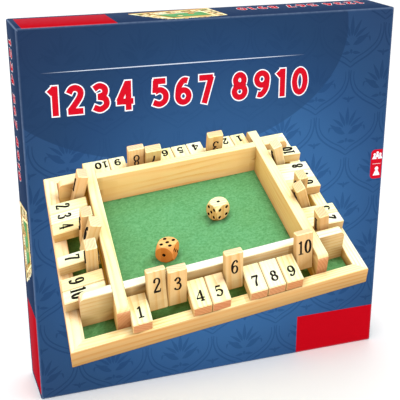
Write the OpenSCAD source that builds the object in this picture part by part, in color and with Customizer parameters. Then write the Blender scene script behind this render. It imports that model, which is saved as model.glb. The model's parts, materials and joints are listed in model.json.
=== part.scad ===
// A boxed game of shut the box for four players, standing on edge as on a shop shelf.
// A card lid slides over a card base. A card inlay in the base holds a square wooden board
// with green felt, four rows of ten numbered tiles that tip on steel rods, and two dice.
// Millimetres. +Z is up, the printed cover faces -Y, and the origin is under the middle of the box.

/* [Carton] */
// Width and height of the closed box
box_w = 300; // [280:1:360]
// Thickness of the card of the lid and the base
card_t = 1.5; // [1:0.1:2.5]
// Gap between the lid's skirt and the base's walls, on each side
lid_gap = 0.5; // [0.3:0.1:1.5]
// Length by which the lid's skirt stops short of the base's back
skirt_short = 1; // [0:0.5:6]
// Gap between the rim of the base and the inside of the lid
rim_gap = 0.5; // [0.3:0.1:3]

/* [Inlay and leaflet] */
// Height of the card inlay over the floor of the base
inlay_h = 22; // [12:1:32]
// Thickness of the inlay's card
inlay_t = 1; // [0.6:0.1:1.5]
// Gap round the inlay, to the base and to the wooden board
inlay_gap = 0.4; // [0.3:0.1:1]
// Width of the folded rules leaflet
leaflet_w = 200; // [120:1:220]
// Thickness of the folded rules leaflet
leaflet_t = 0.4; // [0.2:0.1:1]
// Gap between the leaflet and the wooden board on it
board_gap = 0.1; // [0.1:0.05:0.5]

/* [Wooden board] */
// Width of the square wooden board over its outer bars
game_w = 232; // [220:1:250]
// Thickness of the plywood base
ply_t = 4; // [3:0.5:6]
// Thickness of the felt
felt_t = 1; // [0.5:0.1:2]
// Width of an outer bar
bar_w = 10.5; // [8:0.5:14]
// Height of an outer bar
bar_h = 14.4; // [11:0.1:18]
// Depth of the rebate under a bar that takes the plywood
rebate = 5; // [2:0.5:6]
// Thickness of an inner wall
wall_t = 9; // [7:0.5:11]
// Height of an inner wall over the underside of the board
wall_h = 31; // [26:0.5:38]
// Radius of the rounded top corner at each end of a wall
wall_round = 5; // [2:0.5:8]
// Rounding along the edges of the bars and walls
wood_edge = 0.8; // [0.3:0.1:1.5]

/* [Tiles and rods] */
// Length of a tile
tile_l = 28.4; // [26:0.1:32]
// Thickness of a tile
tile_t = 8.6; // [6.5:0.1:10]
// Gap between neighbouring tiles
tile_gap = 0.4; // [0.2:0.1:1]
// Rounding of a tile's edges
tile_edge = 0.7; // [0.3:0.1:1.2]
// Distance from a tile's inner end to the middle of its hole
hole_in = 6.8; // [5:0.1:8]
// Distance from a lowered tile's free end to the board's outer edge
end_in = 3.2; // [1:0.1:6]
// Slope of a lowered tile, in degrees
slope = 4; // [0:0.5:8]
// Gap between a tile's inner corners and the wall as it tips
sweep_gap = 1.1; // [0.3:0.1:2]
// Gap between a lowered tile and the bar it lies on
rest_gap = 0.05; // [0.02:0.01:0.2]
// Diameter of a rod
rod_d = 3; // [2:0.1:4]
// Clearance all round a rod in a tile
rod_play = 0.1; // [0.05:0.01:0.1]
// Clearance all round the end of a rod in its wall
seat_play = 0.03; // [0.02:0.01:0.05]
// Depth to which a rod's end goes into a wall
rod_seat = 6; // [3:0.5:6.5]
// Gap between a raised tile and the inside of the lid
headroom = 0.4; // [0.3:0.1:4]

/* [Dice] */
// Width of a die
die_w = 15; // [12:0.5:18]
// Depth to which a die's corners are rounded off
die_corner = 2.5; // [1:0.1:3]
// Diameter of a pip
pip_d = 2.6; // [1.5:0.1:3]
// Depth of a pip
pip_deep = 0.5; // [0.2:0.1:0.8]
// Gap between a die and what it lies against
die_gap = 0.1; // [0.05:0.05:0.3]
// Distance of each die from the middle of the board
die_x = 30; // [15:1:45]

/* [Screws] */
// Length of a screw
screw_l = 16; // [10:1:20]
// Diameter of a screw's shank
screw_d = 3; // [2:0.1:3.5]
// Diameter of a screw's head
screw_head = 5.6; // [4:0.1:6.5]
// Distance of each screw from the middle of its wall
screw_x = 48; // [20:1:55]

/* [Hidden] */
TILES = 10;
ROWS = ["bottom", "right", "top", "left"];
$fn = 48;
edge_steps = 2;
round_steps = 6;
cut = 1;

function row_turn(row) = 90 * search([row], ROWS)[0];
function tile_name(row, i) = str(row, "_tile_", i < 10 ? "0" : "", i);

// Where a tile turns, worked out from the tile lying on its bar.
tile_reach = tile_l - hole_in;
corner_r = norm([hole_in - tile_edge, tile_t / 2 - tile_edge]) + tile_edge;
sweep_r = norm([tile_reach - tile_edge, tile_t / 2 - tile_edge]) + tile_edge;
end_drop = (tile_reach - tile_edge) * sin(slope) + (tile_t / 2 - tile_edge) * cos(slope) + tile_edge;
rod_in = end_in + tile_reach * cos(slope);
rod_z = bar_h + rest_gap + end_drop;
wall_in = rod_in + corner_r + sweep_gap;

// The square in the middle, which each row of tiles is as long as.
play_w = game_w - 2 * (wall_in + wall_t);
tile_pitch = play_w / TILES;
tile_w = tile_pitch - tile_gap;
floor_z = ply_t + felt_t;
wall_l = game_w - 2 * bar_w;
wall_mid = game_w / 2 - wall_in - wall_t / 2;
lap_z = (floor_z + wall_h) / 2;

// Depths inside the box, counted from its back.
game_at = card_t + leaflet_t + board_gap;
game_h = max(rod_z + sweep_r, wall_h, floor_z + die_gap + die_w);
box_d = game_at + game_h + headroom + card_t;
base_w = box_w - 2 * (card_t + lid_gap);
tray_w = base_w - 2 * card_t;
inlay_w = tray_w - 2 * inlay_gap;
well_w = game_w + 2 * inlay_gap;

CARD_BLUE = [0.17, 0.33, 0.56];
CARD_WHITE = [0.93, 0.92, 0.89];
CARD_GREY = [0.78, 0.77, 0.74];
PINE = [0.95, 0.85, 0.62];
PINE_WARM = [0.90, 0.75, 0.52];
FELT_GREEN = [0.30, 0.62, 0.36];
DIE_WOOD = [0.80, 0.62, 0.42];

// Points of a rectangle about the origin with rounded corners.
function rounded(w, h, r, steps) = [
    for (c = [0:3], i = [0:steps])
        let (a = 90 * (c + i / steps),
             x = (c == 0 || c == 3 ? 1 : -1) * (w / 2 - r),
             y = (c < 2 ? 1 : -1) * (h / 2 - r))
        [x + r * cos(a), y + r * sin(a)]
];

// Stands a piece drawn lying down, z up from the back of the box, into the upright box.
module stood(z = 0) {
    translate([0, box_d / 2 - z, box_w / 2])
        rotate([90, 0, 0])
            children();
}

// Carries a piece drawn for the bottom row to another row.
module at_row(row) {
    stood(game_at)
        rotate([0, 0, row_turn(row)])
            children();
}

module square_tube(outer, inner, h) {
    linear_extrude(h)
        difference() {
            square(outer, center = true);
            square(inner, center = true);
        }
}

module box_lid() {
    color(CARD_BLUE)
        stood()
            difference() {
                translate([-box_w / 2, -box_w / 2, skirt_short])
                    cube([box_w, box_w, box_d - skirt_short]);
                translate([-box_w / 2 + card_t, -box_w / 2 + card_t, skirt_short - cut])
                    cube([box_w - 2 * card_t, box_w - 2 * card_t, box_d - skirt_short - card_t + cut]);
            }
}

module box_base() {
    base_h = box_d - card_t - rim_gap;
    color(CARD_BLUE)
        stood()
            difference() {
                translate([-base_w / 2, -base_w / 2, 0])
                    cube([base_w, base_w, base_h]);
                translate([-tray_w / 2, -tray_w / 2, card_t])
                    cube([tray_w, tray_w, base_h]);
            }
}

// One sheet of card, folded down round the well and again at the base's walls.
module card_inlay() {
    color(CARD_WHITE)
        stood(card_t) {
            square_tube(inlay_w, inlay_w - 2 * inlay_t, inlay_h);
            square_tube(well_w + 2 * inlay_t, well_w, inlay_h);
            translate([0, 0, inlay_h - inlay_t])
                square_tube(inlay_w, well_w, inlay_t);
        }
}

module rules_leaflet() {
    color(CARD_WHITE)
        stood(card_t)
            translate([-leaflet_w / 2, board_gap - well_w / 2, 0])
                cube([leaflet_w, leaflet_w, leaflet_t]);
}

// Calls its children at the eight places under the walls where a screw goes up.
module at_screws() {
    for (turn = [0:90:270], side = [-1, 1])
        rotate([0, 0, turn])
            translate([side * screw_x, -wall_mid, 0])
                children();
}

// A countersunk screw with its head below, or with some play the hole for it.
module screw_shape(play = 0) {
    head_h = (screw_head - screw_d) / 2;
    translate([0, 0, -play]) {
        cylinder(h = screw_l + 2 * play, d = screw_d + 2 * play);
        cylinder(h = head_h, d1 = screw_head + 2 * play, d2 = screw_d + 2 * play);
    }
}

module screw_holes() {
    at_screws()
        screw_shape(seat_play);
}

module plywood_base() {
    ply_w = game_w - 2 * (bar_w - rebate);
    color(PINE_WARM)
        stood(game_at)
            difference() {
                translate([-ply_w / 2, -ply_w / 2, 0])
                    cube([ply_w, ply_w, ply_t]);
                screw_holes();
            }
}

module felt_sheet() {
    color(FELT_GREEN)
        stood(game_at)
            difference() {
                translate([-wall_l / 2, -wall_l / 2, ply_t])
                    cube([wall_l, wall_l, felt_t]);
                screw_holes();
            }
}

// An outer bar, mitred at both ends, with a rebate below for the plywood.
module bar(row) {
    half = game_w / 2;
    color(PINE)
        at_row(row)
            intersection() {
                translate([-half, -half, 0])
                    rotate([90, 0, 90])
                        linear_extrude(game_w)
                            difference() {
                                translate([bar_w / 2, bar_h / 2])
                                    polygon(rounded(bar_w, bar_h, wood_edge, edge_steps));
                                translate([bar_w - rebate, -cut])
                                    square([rebate + cut, ply_t + cut]);
                            }
                linear_extrude(bar_h)
                    polygon([
                        [-half, -half],
                        [half, -half],
                        [half - bar_w, bar_w - half],
                        [bar_w - half, bar_w - half]
                    ]);
            }
}

// Points of a wall's side, flat below and rounded off at both top corners.
function wall_side() = concat(
    [[-wall_l / 2, floor_z], [wall_l / 2, floor_z]],
    [for (i = [0:round_steps])
        let (a = 90 * i / round_steps)
        [wall_l / 2 - wall_round + wall_round * cos(a), wall_h - wall_round + wall_round * sin(a)]],
    [for (i = [0:round_steps])
        let (a = 90 + 90 * i / round_steps)
        [-wall_l / 2 + wall_round + wall_round * cos(a), wall_h - wall_round + wall_round * sin(a)]]
);

// An inner wall. Walls cross in half laps: the bottom and top ones are notched from above.
module wall(row) {
    notched_above = row == "bottom" || row == "top";
    notch_z = notched_above ? lap_z : floor_z - cut;
    notch_h = notched_above ? wall_h - lap_z + cut : lap_z - floor_z + cut;
    color(PINE)
        at_row(row)
            difference() {
                intersection() {
                    translate([0, -wall_mid + wall_t / 2, 0])
                        rotate([90, 0, 0])
                            linear_extrude(wall_t)
                                polygon(wall_side());
                    translate([-wall_l / 2, -wall_mid, wall_h / 2])
                        rotate([90, 0, 90])
                            linear_extrude(wall_l)
                                polygon(rounded(wall_t, wall_h, wood_edge, edge_steps));
                }
                for (side = [-1, 1]) {
                    translate([side * wall_mid - wall_t / 2, -wall_mid - wall_t, notch_z])
                        cube([wall_t, 2 * wall_t, notch_h]);
                    translate([side * (game_w / 2 - rod_in), -wall_mid + wall_t / 2 + cut, rod_z])
                        rotate([90, 0, 0])
                            cylinder(h = rod_seat + seat_play + cut, d = rod_d + 2 * seat_play);
                }
                screw_holes();
            }
}

module tile_rods() {
    rod_l = play_w + 2 * rod_seat;
    color("silver")
        for (row = ROWS)
            at_row(row)
                translate([-rod_l / 2, rod_in - game_w / 2, rod_z])
                    rotate([0, 90, 0])
                        cylinder(h = rod_l, d = rod_d);
}

module wall_screws() {
    color("gold")
        stood(game_at)
            at_screws()
                screw_shape();
}

// A tile with its hole on the x axis, lying along -y.
module tile_block() {
    difference() {
        translate([0, hole_in - tile_l / 2, 0])
            intersection() {
                translate([0, 0, -tile_t / 2])
                    linear_extrude(tile_t)
                        polygon(rounded(tile_w, tile_l, tile_edge, edge_steps));
                translate([0, tile_l / 2, 0])
                    rotate([90, 0, 0])
                        linear_extrude(tile_l)
                            polygon(rounded(tile_w, tile_t, tile_edge, edge_steps));
                translate([-tile_w / 2, 0, 0])
                    rotate([90, 0, 90])
                        linear_extrude(tile_w)
                            polygon(rounded(tile_l, tile_t, tile_edge, edge_steps));
            }
        translate([-tile_w, 0, 0])
            rotate([0, 90, 0])
                cylinder(h = 2 * tile_w, d = rod_d + 2 * rod_play);
    }
}

// Tile number i of a row, lowered. Numbers run from the left of the player at that side.
module tile(row, i) {
    color(i % 2 == 0 ? PINE : PINE_WARM)
        at_row(row)
            translate([(i - 0.5) * tile_pitch - play_w / 2, rod_in - game_w / 2, rod_z])
                rotate([slope, 0, 0])
                    tile_block();
}

// Places of the pips of a face, in steps from its middle.
function pips(n) = concat(
    n % 2 == 1 ? [[0, 0]] : [],
    n > 1 ? [[-1, 1], [1, -1]] : [],
    n > 3 ? [[1, 1], [-1, -1]] : [],
    n == 6 ? [[-1, 0], [1, 0]] : []
);

// A die about the origin with the face one up and opposite faces that add up to seven.
module die_shape() {
    pip_r = (pow(pip_d / 2, 2) + pow(pip_deep, 2)) / (2 * pip_deep);
    faces = [[1, [0, 0, 0]], [6, [180, 0, 0]], [2, [90, 0, 0]], [5, [-90, 0, 0]], [3, [0, 90, 0]], [4, [0, -90, 0]]];
    difference() {
        intersection() {
            cube(die_w, center = true);
            sphere(r = die_w * sqrt(3) / 2 - die_corner);
        }
        for (face = faces, p = pips(face[0]))
            rotate(face[1])
                translate([p[0] * die_w / 4, p[1] * die_w / 4, die_w / 2 - pip_deep + pip_r])
                    sphere(r = pip_r);
    }
}

// A die lying on the bottom wall of the middle square, against the felt.
module die(x, turn) {
    color(DIE_WOOD)
        stood(game_at)
            translate([x, (die_w - play_w) / 2 + die_gap, floor_z + die_gap + die_w / 2])
                rotate(turn)
                    die_shape();
}

box_lid();
box_base();
card_inlay();
rules_leaflet();
plywood_base();
felt_sheet();
tile_rods();
wall_screws();
die(-die_x, [0, 0, 0]);  // die_1
die(die_x, [0, 90, 90]);  // die_2
for (row = ROWS) {
    bar(row);
    wall(row);
    for (i = [1:TILES])
        tile(row, i);
}
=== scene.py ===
"""A boxed game of shut the box: a printed card box that stands on edge, with the wooden game inside."""

import json
import math

import bmesh
import bpy
import numpy as np
from mathutils import Matrix, Vector, noise
from mathutils.bvhtree import BVHTree


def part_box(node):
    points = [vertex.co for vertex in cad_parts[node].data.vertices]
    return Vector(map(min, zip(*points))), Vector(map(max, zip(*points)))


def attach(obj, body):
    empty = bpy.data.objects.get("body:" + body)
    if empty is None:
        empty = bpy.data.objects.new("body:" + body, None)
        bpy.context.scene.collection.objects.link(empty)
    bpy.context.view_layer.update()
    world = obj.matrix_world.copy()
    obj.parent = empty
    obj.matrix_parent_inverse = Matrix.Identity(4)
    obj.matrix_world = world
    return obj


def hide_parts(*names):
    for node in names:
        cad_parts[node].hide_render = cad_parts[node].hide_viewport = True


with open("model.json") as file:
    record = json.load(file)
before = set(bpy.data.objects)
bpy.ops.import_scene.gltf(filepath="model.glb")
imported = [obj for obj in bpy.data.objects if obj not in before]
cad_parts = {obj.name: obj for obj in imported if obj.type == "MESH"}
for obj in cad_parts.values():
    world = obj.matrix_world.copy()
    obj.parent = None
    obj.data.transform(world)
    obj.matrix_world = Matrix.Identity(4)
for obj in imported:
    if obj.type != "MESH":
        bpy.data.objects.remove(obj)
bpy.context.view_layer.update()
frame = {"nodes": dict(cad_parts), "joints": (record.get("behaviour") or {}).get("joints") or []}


# Camera
# A long lens, level, a little above the box and to its left. It was fitted to the corners of the
# box in the photograph, in widths of the box from the middle of its front lower edge.
box_low, box_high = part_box("box_lid")
box_w = box_high.x - box_low.x
box_mid = (box_high.z + box_low.z) / 2
cover_y = box_low.y
camera_spot = (-0.7812, -2.1095, 1.3639)
camera_sight = Vector((0.3077, 0.8836, -0.3531))

camera = bpy.data.objects.new("camera", bpy.data.cameras.new("camera"))
camera.data.sensor_width = 36
camera.data.lens = 81.0
camera.location = Vector(camera_spot) * box_w + Vector((0, cover_y, 0))
camera.rotation_mode = "QUATERNION"
camera.rotation_quaternion = camera_sight.to_track_quat("-Z", "Y")
bpy.context.scene.collection.objects.link(camera)
bpy.context.scene.camera = camera
bpy.context.scene.view_settings.view_transform = "Standard"


# Studio
# A pale table that runs up into a pale wall, a large soft light from the front left, a weaker one
# from the right and a bright room all round.
def swatch(red, green, blue):
    """A colour as a swatch book gives it, from 0 to 255, as the light it reflects."""
    channels = [c / 255 for c in (red, green, blue)]
    return tuple(((c + 0.055) / 1.055) ** 2.4 if c > 0.04 else c / 12.92 for c in channels) + (1.0,)


class Finish:
    """A surface finish as it is mixed: each method adds one node and gives its output back."""

    def __init__(self, name):
        self.material = bpy.data.materials.new(name)
        self.material.use_nodes = True
        self.tree = self.material.node_tree
        self.shader = self.tree.nodes["Principled BSDF"]

    def feed(self, socket, value):
        if isinstance(value, bpy.types.NodeSocket):
            self.tree.links.new(value, socket)
        elif value is not None:
            socket.default_value = value

    def add(self, kind, inputs, **settings):
        node = self.tree.nodes.new("ShaderNode" + kind)
        for key, value in settings.items():
            setattr(node, key, value)
        for key, value in inputs.items():
            self.feed(node.inputs[key], value)
        return node

    def math(self, operation, a, b=None, c=None):
        return self.add("Math", {0: a, 1: b, 2: c}, operation=operation).outputs[0]

    def blend(self, share, a, b, how="MIX"):
        settings = {"data_type": "RGBA", "blend_type": how, "clamp_result": True}
        return self.add("Mix", {0: share, 6: a, 7: b}, **settings).outputs[2]

    def noise(self, place, scale, detail=2.0, roughness=0.5):
        inputs = {"Vector": place, "Scale": scale, "Detail": detail, "Roughness": roughness}
        return self.add("TexNoise", inputs).outputs["Fac"]

    def steps(self, value, stops):
        """A ramp from one colour to the next, at the places that stops gives."""
        node = self.add("ValToRGB", {"Fac": value})
        ramp = node.color_ramp
        while len(ramp.elements) < len(stops):
            ramp.elements.new(0.5)
        for element, (place, colour) in zip(ramp.elements, stops):
            element.position = place
            element.color = colour
        return node.outputs["Color"]

    def place(self):
        return self.add("TexCoord", {}).outputs["Object"]

    def stretched(self, place, scale, turn=(0, 0, 0), shift=(0, 0, 0)):
        inputs = {"Vector": place, "Scale": scale, "Rotation": turn, "Location": shift}
        return self.add("Mapping", inputs).outputs[0]

    def parts(self, vector):
        return self.add("SeparateXYZ", {0: vector}).outputs

    def attribute(self, name, output="Fac"):
        return self.add("Attribute", {}, attribute_name=name).outputs[output]

    def coat(self, colour, roughness, height=None, relief=0.0, grain=1.0, **sockets):
        """Sends the colour, the roughness and a small relief in metres to the shader."""
        self.feed(self.shader.inputs["Base Color"], colour)
        self.feed(self.shader.inputs["Roughness"], roughness)
        for key, value in sockets.items():
            self.shader.inputs[key.replace("_", " ")].default_value = value
        if height is not None:
            bump = self.add("Bump", {"Height": height, "Distance": relief, "Strength": grain})
            self.tree.links.new(bump.outputs[0], self.shader.inputs["Normal"])
        return self.material


def new_piece(name, points, faces, materials, attributes=(), indices=None, smooth=False):
    """Makes a mesh object whose place is in its mesh. Attributes are (name, type, domain, values)."""
    mesh = bpy.data.meshes.new(name)
    mesh.from_pydata([tuple(p) for p in points], [], [tuple(f) for f in faces])
    for key, kind, domain, values in attributes:
        layer = mesh.attributes.new(key, kind, domain)
        layer.data.foreach_set("vector" if kind == "FLOAT_VECTOR" else "value", np.ravel(values))
    for material in materials:
        mesh.materials.append(material)
    if indices is not None:
        mesh.polygons.foreach_set("material_index", np.asarray(indices, np.int32))
    mesh.polygons.foreach_set("use_smooth", [smooth] * len(mesh.polygons))
    mesh.update()
    piece = bpy.data.objects.new(name, mesh)
    bpy.context.scene.collection.objects.link(piece)
    return piece


def turn_outward(piece):
    """Points the faces of a closed piece outwards."""
    form = bmesh.new()
    form.from_mesh(piece.data)
    bmesh.ops.recalc_face_normals(form, faces=form.faces)
    form.to_mesh(piece.data)
    form.free()


def studio_paper():
    finish = Finish("studio_paper")
    place = finish.place()
    cloud = finish.noise(place, 3.0, 3.0)
    colour = finish.steps(cloud, [(0.3, swatch(251, 251, 251)), (0.7, swatch(253, 253, 253))])
    return finish.coat(colour, 0.75, finish.noise(place, 900.0), 0.0002, 0.1)


def studio():
    sweep_radius = 0.5
    table_front, table_back = -3.0, 1.6
    half_width = 4.0
    profile = [(table_front, 0.0), (table_back, 0.0)]
    for step in range(1, 13):
        a = math.radians(90 * step / 12)
        profile.append((table_back + sweep_radius * math.sin(a), sweep_radius * (1 - math.cos(a))))
    profile.append((table_back + sweep_radius, 3.0))
    points = [(x, y, z) for y, z in profile for x in (-half_width, half_width)]
    faces = [(2 * i, 2 * i + 1, 2 * i + 3, 2 * i + 2) for i in range(len(profile) - 1)]
    floor = new_piece("studio_floor", points, faces, [studio_paper()], smooth=True)

    lights = [
        ("window", (-1.5, -2.3, 1.3), 2.2, 42.0),
        ("reflector", (1.8, -2.0, 0.9), 2.0, 14.0),
        ("ceiling", (0.0, 0.3, 2.6), 2.4, 37.0),
    ]
    for name, spot, size, power in lights:
        light = bpy.data.lights.new(name, "AREA")
        light.shape = "SQUARE"
        light.size = size
        light.energy = power
        lamp = bpy.data.objects.new(name, light)
        lamp.location = spot
        lamp.rotation_euler = (Vector((0, 0, 0.15)) - Vector(spot)).to_track_quat("-Z", "Y").to_euler()
        bpy.context.scene.collection.objects.link(lamp)

    world = bpy.data.worlds.new("room")
    world.use_nodes = True
    world.node_tree.nodes["Background"].inputs["Color"].default_value = (1.0, 1.0, 1.0, 1.0)
    world.node_tree.nodes["Background"].inputs["Strength"].default_value = 0.55
    bpy.context.scene.world = world


studio()


# Card base
# The lower half of the box: grey board 1.5 mm thick, glued at the corners and wrapped in plain dark
# blue paper that turns in over the rim. The floor and the rest of the inside are lined in white.
card = 0.0015
corner_steps = 6
turn_in = 0.016


def square_ring(half, corner, y):
    """Points of a square with rounded corners, standing across the box at the depth y."""
    points = []
    for quarter in range(4):
        x = (half - corner) * (1 if quarter in (0, 3) else -1)
        z = (half - corner) * (1 if quarter < 2 else -1)
        for step in range(corner_steps + 1):
            a = math.radians(90 * (quarter + step / corner_steps))
            points.append((x + corner * math.cos(a), y, box_mid + z + corner * math.sin(a)))
    return points


def ring_wear_and_highlight(fold_wear_and_highlight):
    """Rubbed wear and a painted highlight along one ring: the same all round, and more on the corners' folds.
    Less than 0 is none.
    """
    if fold_wear_and_highlight < 0:
        return [0.0] * (4 * (corner_steps + 1))
    folds = [math.sin(math.pi * step / corner_steps) for step in range(corner_steps + 1)]
    return [max(fold_wear_and_highlight, fold) for _ in range(4) for fold in folds]


def folded_card(name, rings, materials, sheets, closed=False):
    """Lofts rings of (half width, corner radius, depth, wear and painted highlight), with one material number
    per band.
    """
    points, fold_wear_and_highlight = [], []
    for half, corner, y, wear_and_highlight in rings:
        points += square_ring(half, corner, y)
        fold_wear_and_highlight += ring_wear_and_highlight(wear_and_highlight)
    around = 4 * (corner_steps + 1)
    bands = len(rings) if closed else len(rings) - 1
    faces, indices = [], []
    for band in range(bands):
        low, high = band * around, (band + 1) % len(rings) * around
        for i in range(around):
            j = (i + 1) % around
            faces.append((low + i, low + j, high + j, high + i))
            indices.append(sheets[band])
    if not closed:
        faces.append(list(range(around))[::-1])
        faces.append(list(range(len(points) - around, len(points))))
        indices += [sheets[0], sheets[-1]]
    wear_and_highlight_layer = ("fold_wear_and_highlight", "FLOAT", "POINT", fold_wear_and_highlight)
    piece = new_piece(name, points, faces, materials, [wear_and_highlight_layer], indices)
    turn_outward(piece)
    return piece


def paper_fibre(finish, place):
    """A fine tooth and a slow wave, as board has under a glued paper."""
    tooth = finish.noise(place, 2600.0, 3.0, 0.6)
    wave = finish.noise(place, 60.0, 2.0)
    return finish.math("ADD", finish.math("MULTIPLY", tooth, 0.35), wave)


def wrap_paper():
    finish = Finish("wrap_paper")
    place = finish.place()
    cloud = finish.noise(place, 14.0, 3.0)
    colour = finish.steps(cloud, [(0.3, swatch(33, 50, 82)), (0.7, swatch(37, 56, 90))])
    # Lighter along the folds and the rim: partly rubbed ink, partly a painted highlight on each fold.
    rubbed_and_highlight = finish.math("MULTIPLY", finish.attribute("fold_wear_and_highlight"), finish.noise(place, 220.0, 4.0, 0.7))
    share = finish.math("SMOOTH_MIN", finish.math("MULTIPLY", rubbed_and_highlight, 0.9), 0.55, 0.1)
    colour = finish.blend(share, colour, swatch(150, 158, 172))
    return finish.coat(colour, 0.6, paper_fibre(finish, place), 0.00006, 0.5, Specular_IOR_Level=0.4)


def lining_paper():
    finish = Finish("lining_paper")
    place = finish.place()
    flecks = finish.noise(place, 1500.0, 4.0, 0.7)
    colour = finish.steps(flecks, [(0.35, swatch(226, 223, 214)), (0.6, swatch(238, 236, 229))])
    return finish.coat(colour, 0.8, paper_fibre(finish, place), 0.00008, 0.6)


def card_base():
    low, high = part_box("box_base")
    half = (high.x - low.x) / 2
    rim, back = low.y, high.y
    fold, lip = 0.0008, 0.0004
    rings = [
        (half - card, 0.0003, back - card, -1),
        (half - card, 0.0003, rim + turn_in, 0),
        (half - card, 0.0003, rim + lip, 0),
        (half - card + lip, 0.0006, rim, 0.7),
        (half - lip, 0.0010, rim, 0.7),
        (half, 0.0012, rim + lip, 0.2),
        (half, 0.0012, back - fold, 0),
        (half - 0.3 * fold, 0.0010, back - 0.3 * fold, 1),
        (half - fold, 0.0008, back, 0.3),
        (half - 2 * fold, 0.0006, back, -1),
    ]
    piece = folded_card("base_shell", rings, [wrap_paper(), lining_paper()], [1, 0, 0, 0, 0, 0, 0, 0, 0])
    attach(piece, "tray")
    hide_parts("box_base")


card_base()


# Card inlay
# One sheet of thin white board, folded down round the well that holds the wooden game and down
# again at the walls of the base. It sits on the floor of the base.
def inlay_board():
    finish = Finish("inlay_board")
    place = finish.place()
    flecks = finish.noise(place, 1200.0, 5.0, 0.75)
    colour = finish.steps(flecks, [(0.3, swatch(214, 212, 205)), (0.65, swatch(233, 231, 224))])
    cracked = finish.math("MULTIPLY", finish.attribute("fold_wear_and_highlight"), finish.noise(place, 160.0, 3.0))
    colour = finish.blend(finish.math("MULTIPLY", cracked, 0.8), colour, swatch(176, 172, 162))
    return finish.coat(colour, 0.85, paper_fibre(finish, place), 0.0001, 0.7)


def card_inlay():
    low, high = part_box("card_inlay")
    sheet, fold, margin = 0.001, 0.0009, 0.0297
    half, deck, foot = (high.x - low.x) / 2, low.y, high.y
    well = half - margin
    rings = [
        (half, 0.0010, foot, 0),
        (half, 0.0010, deck + fold, 0),
        (half - 0.3 * fold, 0.0010, deck + 0.3 * fold, 1),
        (half - fold, 0.0010, deck, 0),
        (well + fold, 0.0010, deck, 0),
        (well + 0.3 * fold, 0.0010, deck + 0.3 * fold, 1),
        (well, 0.0010, deck + fold, 0),
        (well, 0.0010, foot, 0),
        (well + sheet, 0.0010, foot, 0),
        (well + sheet, 0.0010, deck + sheet, 0),
        (half - sheet, 0.0010, deck + sheet, 0),
        (half - sheet, 0.0010, foot, 0),
    ]
    piece = folded_card("inlay_card", rings, [inlay_board()], [0] * len(rings), closed=True)
    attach(piece, "tray")
    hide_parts("card_inlay")


card_inlay()


# Rules leaflet
# One sheet of thin paper folded twice, so that four leaves lie on each other under the wooden game.
# It has slid down to the lower edge of the well.
def leaflet_paper():
    finish = Finish("leaflet_paper")
    place = finish.place()
    flecks = finish.noise(place, 900.0, 4.0)
    colour = finish.steps(flecks, [(0.3, swatch(238, 237, 232)), (0.7, swatch(247, 246, 242))])
    return finish.coat(colour, 0.7, paper_fibre(finish, place), 0.00005, 0.5)


def side_faces(count, base=0):
    """Faces round a prism, whose lower outline starts at base and has its upper outline after it."""
    return [(base + i, base + (i + 1) % count, base + count + (i + 1) % count, base + count + i)
            for i in range(count)]


def prism_faces(count, base=0):
    """The same faces with the two outlines that close the prism."""
    ends = [tuple(range(base, base + count))[::-1], tuple(range(base + count, base + 2 * count))]
    return side_faces(count, base) + ends


def rules_leaflet():
    low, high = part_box("rules_leaflet")
    leaves = 4
    pitch = (high.y - low.y) / leaves
    paper = 0.8 * pitch
    ends = (low.x, high.x)
    line = []
    for leaf in range(leaves):
        y = low.y + (leaf + 0.5) * pitch
        start, stop = ends if leaf % 2 == 0 else ends[::-1]
        line += [(start, y), (stop, y)]
    front = [(x, y - paper / 2 if i // 2 % 2 == 0 else y + paper / 2) for i, (x, y) in enumerate(line)]
    back = [(x, y + paper / 2 if i // 2 % 2 == 0 else y - paper / 2) for i, (x, y) in enumerate(line)]
    outline = front + back[::-1]
    count = len(outline)
    points = [(x, y, z) for z in (low.z, high.z) for x, y in outline]
    faces = side_faces(count)
    strips = [(i, i + 1, count - 2 - i, count - 1 - i) for i in range(len(line) - 1)]
    faces += [tuple(reversed(f)) for f in strips]
    faces += [tuple(count + v for v in f) for f in strips]
    piece = new_piece("folded_leaflet", points, faces, [leaflet_paper()])
    turn_outward(piece)
    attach(piece, "tray")
    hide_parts("rules_leaflet")


rules_leaflet()


# Wooden board
# The game itself is sawn pine. Four outer bars, mitred at the corners, hold a plywood panel in a
# rebate, and on its felt four inner walls cross in half laps.
ROWS = ("bottom", "right", "top", "left")
board_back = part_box("plywood_base")[1].y


def finish_nodes(names, material):
    """Gives solids that keep their shape their finish."""
    for name in names:
        for place in frame["nodes"][name].material_slots:
            place.material = material


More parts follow.
